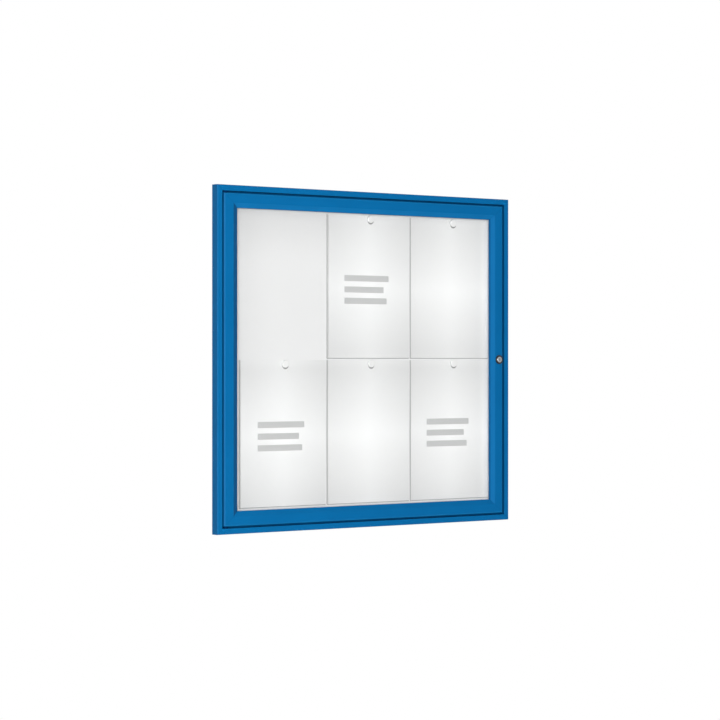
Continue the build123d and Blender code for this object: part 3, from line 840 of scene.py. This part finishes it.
# %% Set the strike screws and the cam screw
shank_radius = 1.45 * MM
low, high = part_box("strike_screws")
strike_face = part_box("strike_plate")[0].x
head_radius = (high.y - low.y) / 2
depth = (low.y + high.y) / 2
strike_points = [(strike_face, depth, low.z + head_radius), (strike_face, depth, high.z - head_radius)]
strike_screws = grow("recessed_strike_screws", screw_maker, screw_sockets, {
    "Head Radius": head_radius, "Head Height": strike_face - low.x, "Slot Width": 0.7 * MM,
    "Shank Radius": shank_radius, "Shank Length": high.x - strike_face,
    "Turn": (0, math.radians(-90), 0), "Metal": zinc,
}, strike_points)
low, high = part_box("cam_screw")
head_radius = (high.x - low.x) / 2
cam_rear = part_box("lock_cam")[1].y
cam_screw = grow("recessed_cam_screw", screw_maker, screw_sockets, {
    "Head Radius": head_radius, "Head Height": high.y - cam_rear, "Slot Width": 0.9 * MM,
    "Shank Radius": shank_radius, "Shank Length": cam_rear - low.y,
    "Turn": (math.radians(-90), 0, 0), "Metal": zinc,
}, [((low.x + high.x) / 2, cam_rear, (low.z + high.z) / 2)])
screw_homes = ((strike_screws, "strike_screws", "case"), (cam_screw, "cam_screw", "lock_plug"))
for screw, node, body in screw_homes:
    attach(screw, body)
    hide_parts(node)
    print(screw.name, [in_mm(point, 2) for point in (screw.bound_box[0], screw.bound_box[6])])

# %% [markdown]
# ## The bulb seal
# Behind the closed door runs a hollow rubber seal: a flat foot stuck to the steel and a round bulb that
# the door presses on. It is one profile carried round a rectangle with mitred corners. Sweeping a
# curve would pinch the corners, so the ring is laid out directly: every point of the profile becomes
# a rectangle, and neighbouring rectangles are joined by faces.

# %% A profile round a rectangle
sharp_from = math.radians(40)


def mitred_ring(name, profile, half_width, half_height, material):
    """profile holds (distance inwards, y) points of a closed outline, in metres."""
    mesh = bpy.data.meshes.new(name)
    shape = bmesh.new()
    rings = []
    for inwards, y in profile:
        wide, tall = half_width - inwards, half_height - inwards
        corners = ((-wide, -tall), (wide, -tall), (wide, tall), (-wide, tall))
        rings.append([shape.verts.new((x, y, z)) for x, z in corners])
    for first, second in zip(rings, rings[1:] + rings[:1]):
        for corner in range(4):
            after = (corner + 1) % 4
            face = shape.faces.new((first[corner], first[after], second[after], second[corner]))
            face.smooth = True
    bmesh.ops.recalc_face_normals(shape, faces=shape.faces)
    for edge in shape.edges:
        edge.smooth = edge.calc_face_angle(0.0) < sharp_from
    shape.to_mesh(mesh)
    shape.free()
    mesh.materials.append(material)
    ring = bpy.data.objects.new(name, mesh)
    bpy.context.scene.collection.objects.link(ring)
    return ring


# %% Foot and bulb
low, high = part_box("door_seal")
foot_y, bulb_y = high.y, low.y
seal_wide = 4.0 * MM
foot_height = 0.9 * MM
foot_bevel = 0.15 * MM
foot_side = foot_y - foot_height * 0.7
foot_top = foot_y - foot_height
bulb_radius = 1.75 * MM
bulb_middle_y = bulb_y + bulb_radius
bulb_start, bulb_sweep, bulb_steps = -50, 280, 16
seal_profile = [(0, foot_y), (0, foot_side), (foot_bevel, foot_top)]
for step in range(bulb_steps + 1):
    angle = math.radians(bulb_start + bulb_sweep * step / bulb_steps)
    across = seal_wide / 2 - bulb_radius * math.cos(angle)
    seal_profile.append((across, bulb_middle_y - bulb_radius * math.sin(angle)))
seal_profile += [(seal_wide - foot_bevel, foot_top), (seal_wide, foot_side), (seal_wide, foot_y)]
seal = mitred_ring("bulb_seal", seal_profile, high.x, high.z, black_rubber)
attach(seal, "case")
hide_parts("door_seal")
print("seal faces:", len(seal.data.polygons))

# %% [markdown]
# ## Floor and background
# The picture has a plain white ground. A backdrop would have to be lit evenly, so the sky is the
# background instead: white for the camera, for mirrors and through the pane, while as light it gives
# only a soft fill of about a tenth, so that the lamps shade the case. The floor lies well below, as
# under a wall case. Near the case it keeps the shadow, and further off it turns white.

# %% White sky
def seen_directly(maker):
    """1 for what the camera, a mirror or clear glass shows, and 0 for light on its way."""
    rays = maker.add("ShaderNodeLightPath").outputs
    kinds = ("Is Camera Ray", "Is Glossy Ray", "Is Transmission Ray")
    camera_ray, glossy_ray, transmission_ray = (Flow(maker, rays[kind]) for kind in kinds)
    return camera_ray.largest(glossy_ray, transmission_ray)


soft_fill = 0.105
world = bpy.data.worlds.new("white_studio")
bpy.context.scene.world = world
world.use_nodes = True
sky = NodeMaker(world.node_tree)
backdrop = world.node_tree.nodes["Background"]
sky.feed(backdrop.inputs["Color"], grey(1.0))
sky.feed(backdrop.inputs["Strength"], seen_directly(sky) * (1 - soft_fill) + soft_fill)
print("sky fill:", soft_fill)

# %% Pale floor
floor_z = -2.0
floor_reach = 14.0
shadow_within, white_from = 1.2, 3.4
near_white = 0.6
floor_square = ((-1, -1), (1, -1), (1, 1), (-1, 1))
floor_corners = [(x * floor_reach, y * floor_reach, floor_z) for x, y in floor_square]
floor_mesh = bpy.data.meshes.new("floor")
floor_mesh.from_pydata(floor_corners, [], [(0, 1, 2, 3)])
floor = bpy.data.objects.new("floor", floor_mesh)
bpy.context.scene.collection.objects.link(floor)
ground = Finish("pale_floor", Specular_IOR_Level=0.0, Roughness=0.9)
grain = ground.noise(size=40, detail=3.0)
ground.set("Base Color", ground.mix(grain, grey(0.84), grey(0.88)))
x, y, z = ground.axes(ground.place)
far = x.reach(y).ease(shadow_within, white_from)
whiteness = seen_directly(ground) * (near_white + far * (1 - near_white))
white = ground.add("ShaderNodeEmission", None, {"Color": grey(1.0), "Strength": 1.0})
ground.show(ground.add("ShaderNodeMixShader", None, {0: whiteness, 1: ground.shader, 2: white}))
floor_mesh.materials.append(ground.material)
print("floor at", floor_z, "m from the middle of the case")

# %% [markdown]
# ## Light and camera
# A large lamp far off to the left, level with the case, lights the front softly. It leaves the slope by
# the hinge dark and the one by the lock bright, and painted shade and sheen in the coat add to that. A
# small lamp high in front casts soft shadows below the magnets, over the painted ones. A low one behind
# lights the back, and it isn't mirrored in the coat. The camera stands level with the middle of the
# case, well to the left, with a long lens.

# %% Three soft lamps
def soft_lamp(name, azimuth, elevation, distance, wide, tall, brightness):
    """An area lamp that gives a facing surface this brightness, where 1 shows a colour as written."""
    turn, rise = math.radians(azimuth), math.radians(elevation)
    towards = Vector((math.sin(turn) * math.cos(rise), -math.cos(turn) * math.cos(rise), math.sin(rise)))
    data = bpy.data.lights.new(name, "AREA")
    data.shape = "RECTANGLE"
    data.size, data.size_y = wide, tall
    data.energy = brightness * math.pi * math.pi * distance ** 2
    lamp = bpy.data.objects.new(name, data)
    lamp.location = towards * distance
    lamp.rotation_euler = towards.to_track_quat("Z", "Y").to_euler()
    lamp.visible_camera = False
    bpy.context.scene.collection.objects.link(lamp)
    print(name, "at", [round(part, 2) for part in lamp.location], "with", round(data.energy), "W")
    return lamp


soft_lamp(
    "front_left_lamp", azimuth=-37, elevation=1, distance=14.0, wide=8.0, tall=3.9, brightness=0.965
)
soft_lamp("upper_lamp", azimuth=5, elevation=52, distance=8.0, wide=0.8, tall=0.8, brightness=0.096)
rear_lamp = soft_lamp(
    "rear_lamp", azimuth=155, elevation=4, distance=9.0, wide=4.0, tall=3.0, brightness=0.75
)
rear_lamp.visible_glossy = False

# %% Camera
bpy.context.scene.view_settings.view_transform = "Standard"
camera_place = (-2.7191, -3.7771, -0.0009)
camera_turn = -35.6406
camera_data = bpy.data.cameras.new("camera")
camera_data.sensor_width = 36.0
camera_data.lens = 111.553
camera_data.clip_end = 100.0
camera = bpy.data.objects.new("camera", camera_data)
camera.location = camera_place
camera.rotation_euler = (math.radians(90), 0, math.radians(camera_turn))
bpy.context.scene.collection.objects.link(camera)
bpy.context.scene.camera = camera
print("camera", round(camera.location.length, 2), "m from the middle of the case")
